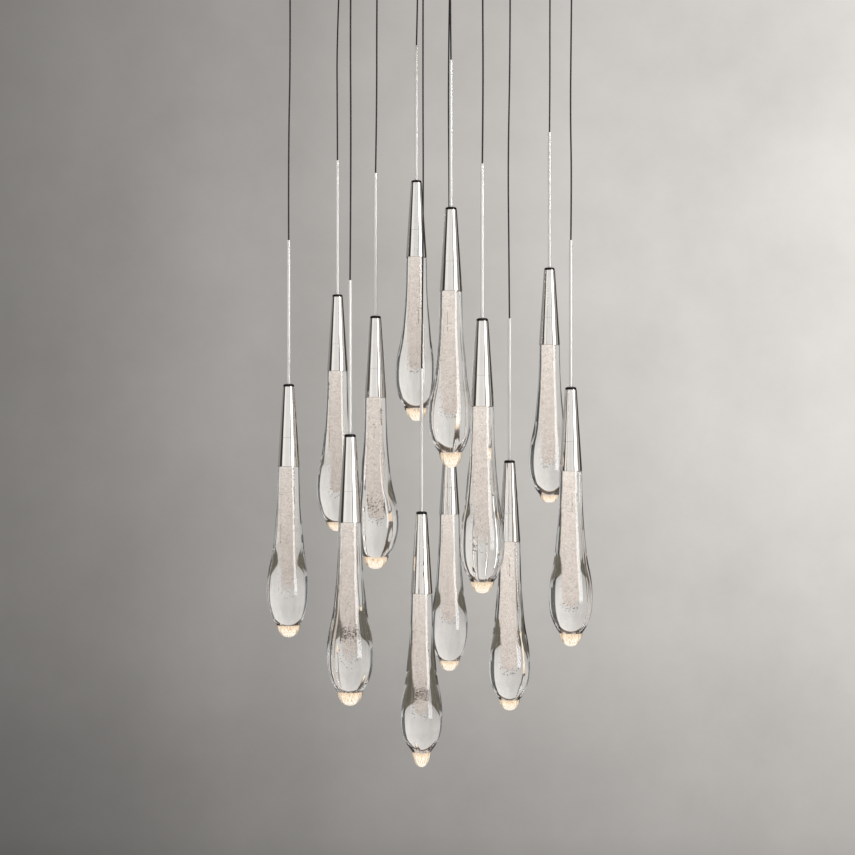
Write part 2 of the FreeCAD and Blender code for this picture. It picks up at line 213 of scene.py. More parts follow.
# A closed body from a grid of rings, with one point at the middle of the first and of the last ring.
def solidOfRows(name, rows, sharpAngle=35, along=None):
    count, columns = rows.shape[:2]
    quads, uv = gridFaces(count, columns, False)
    if along is not None:
        uv[..., 1] = np.asarray(along)[np.rint(uv[..., 1] * count).astype(int)]
    points = np.concatenate([rows.reshape(-1, 3), rows[:1].mean(1), rows[-1:].mean(1)])
    j = np.arange(columns)
    nextJ = (j + 1) % columns
    top, bottom = count * columns, count * columns + 1
    last = (count - 1) * columns
    caps = [(top, a, b) for a, b in zip(j, nextJ)] + [(bottom, last + b, last + a) for a, b in zip(j, nextJ)]
    start, end = uv[0, 0, 1], uv[-1, 1, 1]
    capUv = [(0.5, start, a / columns, start, (a + 1) / columns, start) for a in j]
    capUv += [(0.5, end, (a + 1) / columns, end, a / columns, end) for a in j]
    flat = np.concatenate([uv.reshape(-1), np.array(capUv).reshape(-1)])
    return makeMesh(name, points, quads.tolist() + caps, flat, sharpAngle)


def attach(piece, body, slotName, material, *nodes):
    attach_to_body(piece, body)
    if nodes:
        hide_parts(*nodes)
    piece.data.materials.clear()
    piece.data.materials.append(material)
    return piece


def newMaterial(name):
    material = bpy.data.materials.new(name)
    material.use_nodes = True
    return material, material.node_tree, material.node_tree.nodes["Principled BSDF"]


# Sets a node's inputs by name or number: a value stays on the socket, and another node's output is linked to it.
def feed(tree, node, inputs):
    for key, value in inputs.items():
        if isinstance(value, bpy.types.NodeSocket):
            tree.links.new(value, node.inputs[key])
        else:
            node.inputs[key].default_value = value
    return node


def addNode(tree, kind, inputs={}, **settings):
    node = tree.nodes.new("ShaderNode" + kind)
    for key, value in settings.items():
        setattr(node, key, value)
    return feed(tree, node, inputs)


def maths(tree, operation, *values):
    return addNode(tree, "Math", dict(enumerate(values)), operation=operation).outputs["Value"]


# The value's share of the way from low to high, held between 0 and 1, laid out between the two results.
def mapRange(tree, value, low, high, toLow=0.0, toHigh=1.0):
    return addNode(tree, "MapRange", {"Value": value, "From Min": low, "From Max": high, "To Min": toLow,
                                      "To Max": toHigh}).outputs["Result"]


def mixed(tree, kind, a, b, share=1.0):
    return addNode(tree, "Mix", {"Factor": share, 6: a, 7: b}, data_type="RGBA", blend_type=kind).outputs[2]


# Straight lines between stops, each a place from 0 to 1 with a grey or a colour.
def rampOf(tree, value, stops):
    ramp = addNode(tree, "ValToRGB", {"Fac": value})
    elements = ramp.color_ramp.elements
    while len(elements) < len(stops):
        elements.new(0.5)
    for element, (at, tone) in zip(elements, sorted(stops, key=lambda s: s[0])):
        element.position = at
        element.color = (*tone, 1) if hasattr(tone, "__len__") else (tone, tone, tone, 1)
    return ramp.outputs["Color"]


def axesOf(tree, space):
    return addNode(tree, "SeparateXYZ", {"Vector": addNode(tree, "TexCoord").outputs[space]}).outputs


def objectNoise(tree, scale, detail, stretch=(1, 1, 1), roughness=0.5):
    place = addNode(tree, "Mapping", {"Vector": addNode(tree, "TexCoord").outputs["Object"], "Scale": stretch})
    return addNode(tree, "TexNoise", {"Vector": place.outputs["Vector"], "Scale": scale, "Detail": detail,
                                      "Roughness": roughness}).outputs["Fac"]


def bumpOf(tree, height, distance):
    return addNode(tree, "Bump", {"Height": height, "Strength": 1.0, "Distance": distance}).outputs["Normal"]


# The colour, a little darker in clouds: from dim times the colour to the colour itself.
def clouded(tree, noise, color, dim):
    return rampOf(tree, noise, [(0.3, [c * dim for c in color]), (0.7, color)])


# Polished or plated metal: faint smears in tone and roughness, and a fine grain in the bump.
def metalFinish(name, color, roughness, spread, grain=900.0, bumpHeight=0.00001, stretch=(1, 1, 1), metallic=1.0):
    material, tree, shader = newMaterial(name)
    smears = objectNoise(tree, 38.0, 4.0, stretch)
    feed(tree, shader, {
        "Metallic": metallic,
        "Base Color": clouded(tree, smears, color, 0.94),
        "Roughness": mapRange(tree, smears, 0.3, 0.7, roughness, roughness + spread),
        "Normal": bumpOf(tree, objectNoise(tree, grain, 2.0, stretch), bumpHeight),
    })
    return material


def plasticFinish(name, color, roughness, grain=1500.0, bumpHeight=0.00004):
    material, tree, shader = newMaterial(name)
    feed(tree, shader, {
        "Base Color": clouded(tree, objectNoise(tree, 30.0, 3.0), color, 0.93),
        "Roughness": roughness,
        "Normal": bumpOf(tree, objectNoise(tree, grain, 2.0), bumpHeight),
    })
    return material


# Fine black braid: the higher of two crossed waves, sin(2 pi (8 u + 8 v)) and sin(2 pi (8 u - 8 v)).
def braidFinish(name):
    material, tree, shader = newMaterial(name)
    threads = 8.0 * 2 * math.pi
    waves = []
    for lean in (threads, -threads):
        slant = addNode(tree, "VectorMath", {0: addNode(tree, "TexCoord").outputs["UV"], 1: (threads, lean, 0)},
                        operation="DOT_PRODUCT")
        waves.append(maths(tree, "SINE", slant.outputs["Value"]))
    weave = maths(tree, "MAXIMUM", *waves)
    feed(tree, shader, {
        "Roughness": 0.62,
        "Sheen Weight": 0.12,
        "Base Color": rampOf(tree, weave, [(0.1, (0.009, 0.008, 0.008)), (0.9, (0.020, 0.018, 0.017))]),
        "Normal": bumpOf(tree, weave, 0.00008),
    })
    return material


# Solid clear glass with a faint waviness from the hand forming.
def clearGlass(name):
    material, tree, shader = newMaterial(name)
    feed(tree, shader, {
        "Base Color": (0.985, 0.985, 0.98, 1),
        "Transmission Weight": 1.0,
        "Roughness": 0.0,
        "IOR": 1.5,
        "Normal": bumpOf(tree, objectNoise(tree, 26.0, 1.5, (1, 1, 0.35)), 0.0006),
    })
    return material


# Seed bubbles with a painted glow, since the core is no lamp: emission in bright cells with darker rims, times a
# painted fall-off that is brighter at the top of the map, times patches, times painted shade that darkens the left,
# for the studio's light from the right. They are solid where the fullness, thinned down the map, is over a noise.
def bubbleCoreGlow(name, strength, fullness):
    material, tree, shader = newMaterial(name)
    place = addNode(tree, "TexCoord").outputs["Object"]
    cells = addNode(tree, "TexVoronoi", {"Vector": place, "Scale": 640.0, "Randomness": 1.0}).outputs["Distance"]
    down = axesOf(tree, "UV")["Y"]
    # painted light: the glow of the seed bubbles, bright cells with darker rims, though the core is no lamp
    lit = rampOf(tree, cells, [(0.0, (1.08, 1.035, 0.985)), (0.35, (0.965, 0.885, 0.825)),
                               (0.65, (0.80, 0.70, 0.615)), (0.9, (0.38, 0.30, 0.24))])
    # painted light: brighter near the top of the map, as if lit from above
    paintedFallOff = rampOf(tree, down, [(0.0, (1.25, 1.26, 1.26)), (0.35, (1.08, 1.07, 1.06)), (0.7, (0.97, 0.955, 0.95)),
                                  (1.0, (0.92, 0.90, 0.89))])
    patches = rampOf(tree, objectNoise(tree, 110.0, 4.0), [(0.3, 0.90), (0.7, 1.08)])
    # painted shade: darker towards the left by Object X, for the studio's light from the right
    paintedLeftShade = rampOf(tree, mapRange(tree, axesOf(tree, "Object")["X"], -0.3, 0.3),
                    [(0.0, 0.80), (0.46, 0.86), (0.62, 0.96), (1.0, 1.0)])
    for tone in (paintedFallOff, patches, paintedLeftShade):
        lit = mixed(tree, "MULTIPLY", lit, tone)
    thinning = rampOf(tree, down, [(0.0, fullness), (0.66, fullness), (0.86, fullness * 0.55), (1.0, fullness * 0.22)])
    over = maths(tree, "SUBTRACT", thinning, objectNoise(tree, 420.0, 3.0))
    feed(tree, shader, {
        "Base Color": (0.10, 0.09, 0.085, 1),
        "Emission Color": lit,
        "Emission Strength": strength,
        "Roughness": 0.6,
        "Alpha": mapRange(tree, over, -0.16, 0.12, 0.0, 0.96),
        "Normal": bumpOf(tree, cells, 0.0003),
    })
    return material


# Air inside glass: the surface bends light the other way, so rims go dark and middles stay clear; its brownish tint
# of about half is painted shade that darkens every bubble.
def airBubble(name):
    material, tree, shader = newMaterial(name)
    tree.nodes.remove(shader)
    # painted shade: the brownish Color darkens each bubble, which clear air would not
    skin = addNode(tree, "BsdfGlass", {"Roughness": 0.0, "IOR": 0.667, "Color": (0.48, 0.44, 0.39, 1)})
    feed(tree, tree.nodes["Material Output"], {"Surface": skin.outputs["BSDF"]})
    return material


# A painted glow for the light that gathers in the nub, though it is no lamp: tones down the map, times rows of faint
# painted scallops for the refracted images of the LED, by the wave
# 0.5 + 0.5 sin(2 pi 5 (v + 0.17 |sin(2 pi 6 u)| + 0.5 noise)). Cover is how solid it is down the map.
def paintedNubGlow(name, tones, strength, cover):
    material, tree, shader = newMaterial(name)
    place = axesOf(tree, "UV")
    across, down = place["X"], place["Y"]
    height = down
    arch = maths(tree, "ABSOLUTE", maths(tree, "SINE", maths(tree, "MULTIPLY", across, 2 * math.pi * 6)))
    for part, amount in ((arch, 0.17), (objectNoise(tree, 90.0, 2.0), 0.5)):
        height = maths(tree, "ADD", height, maths(tree, "MULTIPLY", part, amount))
    wave = maths(tree, "SINE", maths(tree, "MULTIPLY", height, 2 * math.pi * 5.0))
    wave = maths(tree, "ADD", maths(tree, "MULTIPLY", wave, 0.5), 0.5)
    # painted light: the scallops darken the glow in amber rows, for refracted images of the LED
    paintedScallops = rampOf(tree, wave, [(0.0, (0.46, 0.29, 0.14)), (0.22, (0.82, 0.67, 0.47)), (0.5, (1.0, 1.0, 1.0))])
    feed(tree, shader, {
        "Base Color": (0.2, 0.15, 0.1, 1),
        "Emission Color": mixed(tree, "MULTIPLY", rampOf(tree, down, tones), paintedScallops),
        "Emission Strength": strength,
        "Alpha": rampOf(tree, down, cover),
    })
    return material


def lampFinish(name, strength):
    material, tree, shader = newMaterial(name)
    tone = rampOf(tree, objectNoise(tree, 900.0, 2.0), [(0.3, (1.0, 0.80, 0.52)), (0.7, (1.0, 0.90, 0.70))])
    feed(tree, shader, {"Emission Color": tone, "Emission Strength": strength})
    return material


finishes = {
    "nickel": metalFinish("polishedNickel", (0.80, 0.77, 0.73), 0.04, 0.03, 900.0, 0.000003),
    "satinNickel": metalFinish("satinNickel", (0.89, 0.865, 0.83), 0.42, 0.03, 900.0, 0.000002, metallic=0.35),
    # near-black nickel for the cap nuts
    "darkNickel": metalFinish("nearBlackNickel", (0.026, 0.023, 0.021), 0.10, 0.06),
    "galvanised": metalFinish("galvanisedSteel", (0.55, 0.56, 0.57), 0.38, 0.16, 260.0, 0.00012),
    "zinc": metalFinish("zincPlate", (0.62, 0.62, 0.60), 0.24, 0.12),
    "brass": metalFinish("plainBrass", (0.78, 0.58, 0.28), 0.22, 0.12),
    "aluminium": metalFinish("turnedAluminium", (0.72, 0.72, 0.73), 0.28, 0.10, 500.0, 0.00003, (1, 1, 6)),
    "whitePlastic": plasticFinish("whiteCase", (0.80, 0.80, 0.78), 0.42),
    "terminalPlastic": plasticFinish("terminalNylon", (0.72, 0.73, 0.70), 0.36),
    "boardWhite": plasticFinish("lampBoard", (0.86, 0.86, 0.84), 0.35),
    "braid": braidFinish("blackBraid"),
    "glass": clearGlass("clearGlass"),
    "coreFull": bubbleCoreGlow("seedBubbles", 0.74, 1.2),
    "coreHalf": bubbleCoreGlow("seedBubblesOpen", 0.76, 0.56),
    "coreThin": bubbleCoreGlow("seedBubblesSparse", 0.78, 0.42),
    "bubble": airBubble("airBubble"),
    # painted glow in the nub: white in the middle, turning amber towards the edge, with a wider amber rim layer
    "glow": paintedNubGlow("nubGlow", [(0.2, (1.0, 0.86, 0.66)), (0.36, (1.0, 0.95, 0.84)),
                                   (0.48, (1.0, 0.985, 0.93))], 1.20,
                       [(0.0, 0.0), (0.3, 0.25), (0.5, 0.95), (1.0, 1.0)]),
    "glowEdge": paintedNubGlow("nubGlowEdge", [(0.3, (0.90, 0.66, 0.42)), (0.46, (1.0, 0.87, 0.67)),
                                           (0.7, (1.0, 0.965, 0.87))], 1.06,
                           [(0.0, 0.0), (0.30, 0.0), (0.38, 0.55), (0.52, 0.36), (0.7, 0.16), (1.0, 0.05)]),
    "lamp": lampFinish("lampEmitter", 4.0),
}
print("materials made:", len(finishes))

for tag, points, length in zip(tags, cordPoints, cord["lengths"]):
    makeCord(tag, points)
print("cords made:", len(tags))

canopy = {
    "radius": 0.330,
    "depth": 0.050,
    "wall": 0.002,
    "edgeRoll": 0.006,
    "studOffset": 0.100,
}

grip = {
    "bore": 0.00195,
    "thread": 0.005,
    "threadLength": 0.014,
    "flange": 0.009,
    "flangeHeight": 0.002,
    "mouth": 0.004,
    "drop": 0.014,
}

capNut = {
    "bore": 0.0031,
    "flange": 0.008,
    "flangeHeight": 0.002,
    "dome": 0.00625,
    "height": 0.013,
    "floor": 0.0015,
}


# Profile of the spun pan, round its wall: flat floor, quarter roll of x = r sin a, z = -r cos a, and straight rim.
def panOutline(size):
    radius, depth, wall, roll = size["radius"], size["depth"], size["wall"], size["edgeRoll"]
    turn = np.linspace(0, np.pi / 2, 14)
    outer, inner = (np.stack([radius - roll + r * np.sin(turn), -depth + roll - r * np.cos(turn)], -1)
                    for r in (roll, roll - wall))
    across = (radius - roll) * np.linspace(0.0005, 1, 12)
    under = np.stack([across, np.full(12, -depth)], -1)
    lid = under[::-1] + (0, wall)
    low = -depth + 2 * roll
    rim = softCorners([(radius, low), (radius, 0), (radius - wall, 0), (radius - wall, low)], [0, 0.0008, 0.0008, 0])
    return np.concatenate([inner[::-1], lid[1:], under[:-1], outer, rim])[::-1]


# A flat flange over half a ball: r cos a out and r sin a down.
def nutDome(size, top):
    turn = np.linspace(0, np.pi / 2 - 0.04, 10)
    spring = top - size["height"] + size["dome"]
    dome = np.stack([size["dome"] * np.cos(turn), spring - size["dome"] * np.sin(turn)], -1)
    flange = softCorners([(size["bore"], top), (size["flange"], top), (size["flange"], top - size["flangeHeight"]),
                          (size["dome"], top - size["flangeHeight"])], [0, 0.0003, 0.0006, 0.0002])
    floor = [(0.0003, top - size["height"] + size["floor"]), (size["bore"], top - size["height"] + size["floor"])]
    return np.concatenate([flange, dome, floor])


studPlaces = [(x, y, 0) for x in (-canopy["studOffset"], canopy["studOffset"])
              for y in (-canopy["studOffset"], canopy["studOffset"])]
hangPlaces = [(points[0][0], points[0][1], 0) for points in cordPoints]

attach(turnedPiece("canopyPan", panOutline(canopy), [(0, 0, 0)], 160), "canopy", "polished_nickel",
       finishes["nickel"], "canopy_pan")

attach(turnedPiece("canopyCapNuts", nutDome(capNut, -canopy["depth"]), studPlaces, 48),
       "canopy", "polished_nickel", finishes["nickel"], "canopy_cap_nuts")

gripTop = -canopy["depth"]
gripOutline = softCorners([
    (grip["bore"], gripTop + grip["threadLength"]),
    (grip["thread"], gripTop + grip["threadLength"]),
    (grip["thread"], gripTop),
    (grip["flange"], gripTop),
    (grip["flange"], gripTop - grip["flangeHeight"]),
    (grip["mouth"] + 0.001, gripTop - grip["drop"] + 0.001),
    (grip["mouth"], gripTop - grip["drop"]),
    (grip["bore"], gripTop - grip["drop"]),
], 0.0005)
attach(turnedPiece("cordGrips", gripOutline, hangPlaces, 40), "canopy", "polished_nickel", finishes["nickel"],
       "cord_grips")

for node, finish in {
    "ceiling_plate": "galvanised",
    "plate_studs": "zinc",
    "grip_nuts": "zinc",
    "driver_front": "whitePlastic",
    "driver_rear": "whitePlastic",
    "driver_screws": "zinc",
    "mains_terminal": "terminalPlastic",
    "led_terminal": "terminalPlastic",
    "earth_screw": "brass",
}.items():
    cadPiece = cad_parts[node]
    cadPiece.data.materials.clear()
    cadPiece.data.materials.append(finishes[finish])
print("canopy made")


stem = {
    "radius": 0.003175,
    "mouth": 0.00195,
    "length": 0.2755,
    "bore": 0.00225,
    "mouthDepth": 0.003,
}

cone = {
    "capTop": 0.266,
    "capHeight": 0.0054,
    "capRadius": 0.0102,
    "capRoll": 0.0032,
    "topRadius": 0.0109,
    "bottomRadius": 0.0207,
    "length": 0.1475,
    "collar": 0.0535,
    "wall": 0.0017,
    "spigot": 0.014,
    "stemHole": 0.0033,
    "seam": 0.00018,                     # the groove between cone and collar
    "capSide": 0.0024,                   # the straight part of the cap nut's edge
}

lockNut = {
    "inside": 0.0033,
    "outside": 0.0055,
    "height": 0.005,
    "below": 0.003,                      # how far under the cone's top face it sits
    "edge": 0.0004,
}

glass = {
    # half width below the collar's edge, both in mm, for a drop of the standard size
    "profile": [(0.0, 20.3), (16, 20.6), (50, 21.3), (89, 23.2), (124, 26.4), (158, 30.1), (175, 33.2), (190, 36.1),
                (202, 37.7), (216, 38.7), (231, 39.0), (250, 37.6), (269, 33.2), (280, 29.0), (287, 25.2),
                (291, 22.6)],
    "nubRoot": 22.0,
    "nubHeight": 26.0,
    "standardLength": 317.0,
    "standardBulb": 39.0,
    "gap": 0.0003,
    "rings": 150,
    "columns": 96,
    "swell": (90, 120),                  # mm down where a drop's own bulb width sets in, and over how many
    "ending": 262,                       # and where its own nub starts to tell
    "uneven": [(0.0055, 2, 34), (0.0035, 3, 52), (0.0025, 1, 90), (0.0018, 5, 70)],   # amount, waves round, wave down
    "evenEnd": 0.03,                     # the unevenness dies away over this length at both ends
    "leanFrom": 0.35,
}

# each drop's glass length and bulb diameter in mm, the bulb's sideways lean, the nub's half width and height, how
# far down the glass its bubbles reach, how much of their fading happens before their end, and the stretch, if any,
# where larger bubbles crowd, with their count
dropKeys = ("length", "bulb", "lean", "nub", "reach", "fade", "crowd")
drops = [dict(zip(dropKeys, row)) for row in [
    (316, 76.5, -2.4, (22.0, 24), 0.74, 1.0, None),
    (318, 76.0, -3.0, (22.0, 20), 0.76, 0.94, None),
    (317, 80.5, 0.0, (22.5, 26), 0.76, 1.0, (0.56, 0.65, 620)),
    (320, 75.0, 6.0, (23.5, 25), 0.71, 0.76, (0.57, 0.70, 260)),
    (323, 76.0, -3.6, (22.5, 27), 0.69, 0.86, None),
    (319, 78.0, -3.0, (21.0, 30), 0.70, 0.74, None),
    (322, 77.0, 0.0, (20.5, 22), 0.75, 1.0, None),
    (317, 77.0, 0.0, (19.5, 22), 0.76, 0.80, None),
    (310, 76.0, -2.5, (19.0, 17), 0.755, 0.84, None),
    (318, 79.0, 0.0, (21.0, 26), 0.765, 0.76, None),
    (324, 78.0, 0.0, (17.5, 30), 0.70, 0.96, (0.535, 0.62, 760)),
    (316, 74.5, 0.0, (20.5, 23), 0.68, 0.84, None),
]]

core = {
    "radius": [(0.0, 8.4), (0.12, 8.6), (0.35, 9.6), (0.6, 10.8), (0.8, 11.2), (1.0, 11.0)],   # mm down its length
    "waist": 0.10,                       # how much it narrows where the larger bubbles crowd
    "neckLean": -0.0022,                 # how far the column stands off the middle in the neck
    "layers": [("coreFull", 0.78), ("coreHalf", 0.90), ("coreThin", 1.0)],
    "bubbles": 200,
    "endBubbles": 60,
    "trails": 3,                         # upright strings of bubbles drawn out in the neck
    "trailBubbles": 16,
    "rings": 90,
    "columns": 40,
    "above": 0.010,                      # how far it starts above the collar's edge, in metres
    "bumps": [(1, 18), (2, 31), (3, 47), (4, 23)],   # waves round and wave down
    "bumpHeight": 0.022,
    "jitter": 0.00012,
}


# Down the outside of the tube, round its foot and back up the bore to the narrower mouth.
def stemOutline(size):
    return softCorners([
        (size["mouth"], 0), (size["radius"], 0), (size["radius"], -size["length"]),
        (size["bore"], -size["length"]), (size["bore"], -size["mouthDepth"]), (size["mouth"], -size["mouthDepth"]),
    ], [0.0002, 0.0006, 0.0003, 0.0002, 0.0002, 0.0002])


# The outer radius grows along a straight line from the cone's top to its base.
def coneRadius(size, depth):
    share = (depth - size["capTop"] - size["capHeight"]) / size["length"]
    return size["topRadius"] + share * (size["bottomRadius"] - size["topRadius"])


# A low dome: height falls as a quarter ellipse from the stem hole to the edge, over a short straight side.
def capOutline(size):
    top = -size["capTop"]
    bottom = top - size["capHeight"]
    turn = np.linspace(0.12, np.pi / 2, 12)
    side = size["capSide"]
    dome = np.stack([size["capRadius"] * np.sin(turn)**0.6,
                     bottom + side + (size["capHeight"] - side) * np.cos(turn)], -1)
    dome = dome[dome[:, 0] > size["stemHole"] + 0.0003]
    return np.concatenate([[(size["stemHole"], bottom), (size["stemHole"], dome[0, 1] - 0.0003)], dome,
                           [(size["capRadius"], bottom + 0.0003), (size["capRadius"] - 0.0003, bottom)]])


# Round the wall: stem hole, straight taper down to the seam's groove, and back up the inside.
def coneOutline(size):
    top = size["capTop"] + size["capHeight"]
    seam = top + size["length"] - size["collar"]
    outer = coneRadius(size, seam)
    return softCorners([
        (size["stemHole"], -top), (size["topRadius"], -top), (outer, -seam + size["seam"]),
        (outer - size["seam"], -seam), (outer - size["wall"], -seam),
        (size["topRadius"] - size["wall"] + 0.001, -top - 0.003), (size["stemHole"], -top - 0.003),
    ], [0.0002, 0.0007, 0.0002, 0.0001, 0.0002, 0.0005, 0.0002])


# Round the wall: spigot, groove, the same taper carried on to the base, and back up to the ledge.
def collarOutline(size):
    top = size["capTop"] + size["capHeight"]
    base = top + size["length"]
    seam = base - size["collar"]
    outer = coneRadius(size, seam)
    inner = outer - size["wall"] - 0.0001
    return softCorners([
        (inner - 0.002, -seam + size["spigot"]), (inner, -seam + size["spigot"]), (inner, -seam),
        (outer - size["seam"], -seam), (outer, -seam - size["seam"]),
        (size["bottomRadius"], -base), (size["bottomRadius"] - size["wall"], -base),
        (outer - size["wall"] + 0.0005, -seam - 0.005), (inner - 0.002, -seam - 0.005),
    ], [0.0002, 0.0002, 0.0001, 0.0001, 0.0002, 0.0009, 0.0004, 0.0003, 0.0003])


led = {
    "aboveSeam": 0.020,
    "ledge": 0.005,                      # how far below the seam the board meets the heat sink
    "board": 0.0016,
    "emitterRadius": 0.003,
    "emitterHeight": 0.0012,
    "fins": 5,
    "finDepth": 0.0012,
    "finStep": 0.0012,
    "sinkDepth": 0.048,                  # how far down the cone the plug takes its width from
    "sinkInset": 0.0023,
}


# A plain ring, which becomes a hexagon when it is turned in six sides.
def lockNutOutline(size, coneTop):
    corners = np.array([(size["inside"], 0), (size["outside"], 0), (size["outside"], -size["height"]),
                        (size["inside"], -size["height"])])
    corners[:, 1] -= coneTop + size["below"]
    return softCorners(corners, size["edge"])


# A round plug whose upper end is turned into a row of shallow fins.
def sinkOutline(size, seamDepth, radius):
    top, bottom = -seamDepth + size["aboveSeam"], -seamDepth - size["ledge"]
    step = size["finStep"]
    fins = [(0.0004, top)]
    for k in range(size["fins"]):
        high = top - 2 * k * step
        fins += [(radius - 0.0003, high), (radius - 0.0003, high - step), (radius - size["finDepth"], high - step),
                 (radius - size["finDepth"], high - 2 * step)]
    return softCorners(fins + [(radius, high - 2 * step), (radius, bottom), (0.0004, bottom)], 0.00015)


# A flat disc under the plug.
def boardOutline(size, seamDepth, radius):
    top = -seamDepth - size["ledge"]
    bottom = top - size["board"]
    return softCorners([(0.0004, top), (radius, top), (radius, bottom), (0.0004, bottom)], 0.0002)


# A low lens: a quarter ellipse down from the board.
def emitterOutline(size, seamDepth):
    top = -seamDepth - size["ledge"] - size["board"]
    turn = np.linspace(0, np.pi / 2 - 0.05, 8)
    lens = np.stack([size["emitterRadius"] * np.cos(turn), top - size["emitterHeight"] * np.sin(turn)], -1)
    return np.concatenate([[(0.0002, top)], lens])


# Rings down the drop: the profile's radius at each depth, stretched to this drop, with a slow unevenness r (1 + sum
# of a sin(2a + p) sin(bz + q)), the middle line leaning out by sin^2 along the bulb.
def glassRows(shape, drop, top, shankTop, place, seed):
    random = np.random.default_rng(seed)
    nubRoot, nubHeight = drop["nub"]
    length = drop["length"]
    rootDepth = length - nubHeight
    standardRoot = shape["profile"][-1][0]
    depth, radius = hermiteCurve(shape["profile"], shape["rings"])
    swellAt, swellOver = shape["swell"]
    swell = (drop["bulb"] / 2 - shape["standardBulb"]) * np.clip((depth - swellAt) / swellOver, 0, 1)**2
    ending = np.clip((depth - shape["ending"]) / (standardRoot - shape["ending"]), 0, 1)
    radius = radius + swell * (1 - ending) + (nubRoot - shape["nubRoot"]) * ending
    depth = depth * rootDepth / standardRoot
    turn = np.linspace(0.03, np.pi / 2 - 0.03, 30)
    nubRadius = nubRoot * np.cos(turn)**0.92
    nubDepth = rootDepth + nubHeight * np.sin(turn)**1.08
    shankRadius = (coneRadius(cone, cone["capTop"] + cone["capHeight"] + cone["length"] - cone["collar"] + 0.005)
                   - cone["wall"] - 0.0003) * 1000
    shank = [(shankRadius * 0.5, -shankTop), (shankRadius - 1.0, -shankTop), (shankRadius, -shankTop + 1.0),
             (shankRadius, 0.0), (radius[0] - 1.0, 0.0), (radius[0] - 0.3, 0.3)]
    radius = np.concatenate([[p[0] for p in shank], radius[3:], nubRadius]) / 1000
    depth = np.concatenate([[p[1] for p in shank], depth[3:], nubDepth]) / 1000
    angle = np.linspace(0, 2 * np.pi, shape["columns"], endpoint=False)[None]
    z = depth[:, None]
    share = np.clip(z / (length / 1000), 0, 1)
    uneven = np.zeros((len(depth), shape["columns"]))
    for amount, turns, wave in shape["uneven"]:
        phaseA, phaseZ = random.uniform(0, 2 * np.pi, 2)
        uneven += amount * np.sin(turns * angle + phaseA) * np.sin(wave * z + phaseZ)
    uneven *= np.clip(z / shape["evenEnd"], 0, 1) * np.clip((length / 1000 - z) / shape["evenEnd"], 0, 1)
    bulge = np.clip((share - shape["leanFrom"]) / (1 - shape["leanFrom"]), 0, 1)
    lean = drop["lean"] / 1000 * np.sin(np.pi * bulge**1.3)**2
    wide = radius[:, None] * (1 + uneven)
    return np.stack([place[0] + lean + wide * np.cos(angle), place[1] + wide * np.sin(angle),
                     np.broadcast_to(top - z, wide.shape)], -1)


# How far sideways the column is at a share of its length: off the middle in the neck, with the bulb below.
def coreLean(size, drop, t):
    return (size["neckLean"] * (1 - np.clip((t - 0.45) / 0.35, 0, 1)**2)
            + drop["lean"] / 1000 * 0.8 * np.clip((t - 0.6) / 0.4, 0, 1)**2)


# The radius by depth, less a smooth waist, cos^2, where the larger bubbles crowd.
def coreRadius(size, drop, t):
    at, radius = hermiteCurve(size["radius"], 80)
    wide = np.interp(t, at, radius) / 1000
    if drop["crowd"]:
        low, high = (v / drop["reach"] for v in drop["crowd"][:2])
        off = np.clip((t - (low + high) / 2) / (high - low), -1, 1)
        wide = wide * (1 - size["waist"] * np.cos(np.pi / 2 * off)**2)
    return wide


# A slightly uneven column with rounded ends: the radius by depth, times 1 + small seeded sines, plus a fine jitter.
def coreRows(size, drop, top, place, seed, width):
    random = np.random.default_rng(seed)
    length = drop["length"] / 1000 * drop["reach"]
    t = np.linspace(0, 1, size["rings"])[:, None]
    angle = np.linspace(0, 2 * np.pi, size["columns"], endpoint=False)[None]
    end = np.sqrt(np.clip(1 - np.clip((t - 0.94) / 0.06, 0, 1)**2, 0.0004, 1))
    start = np.sqrt(np.clip(1 - np.clip((0.012 - t) / 0.012, 0, 1)**2, 0.0004, 1))
    bumps = 0
    for turns, wave in size["bumps"]:
        phaseA, phaseZ = random.uniform(0, 2 * np.pi, 2)
        bumps = bumps + size["bumpHeight"] * np.sin(turns * angle + phaseA) * np.sin(wave * t + phaseZ)
    jitter = random.normal(0, size["jitter"], (size["rings"], size["columns"]))
    wide = width * coreRadius(size, drop, t) * end * start * (1 + bumps) + jitter
    lean = coreLean(size, drop, t)
    depth = -size["above"] + (length * (0.985 + 0.015 * width) + size["above"]) * t
    return np.stack([place[0] + lean + wide * np.cos(angle), place[1] + wide * np.sin(angle),
                     np.broadcast_to(top - depth, wide.shape)], -1)


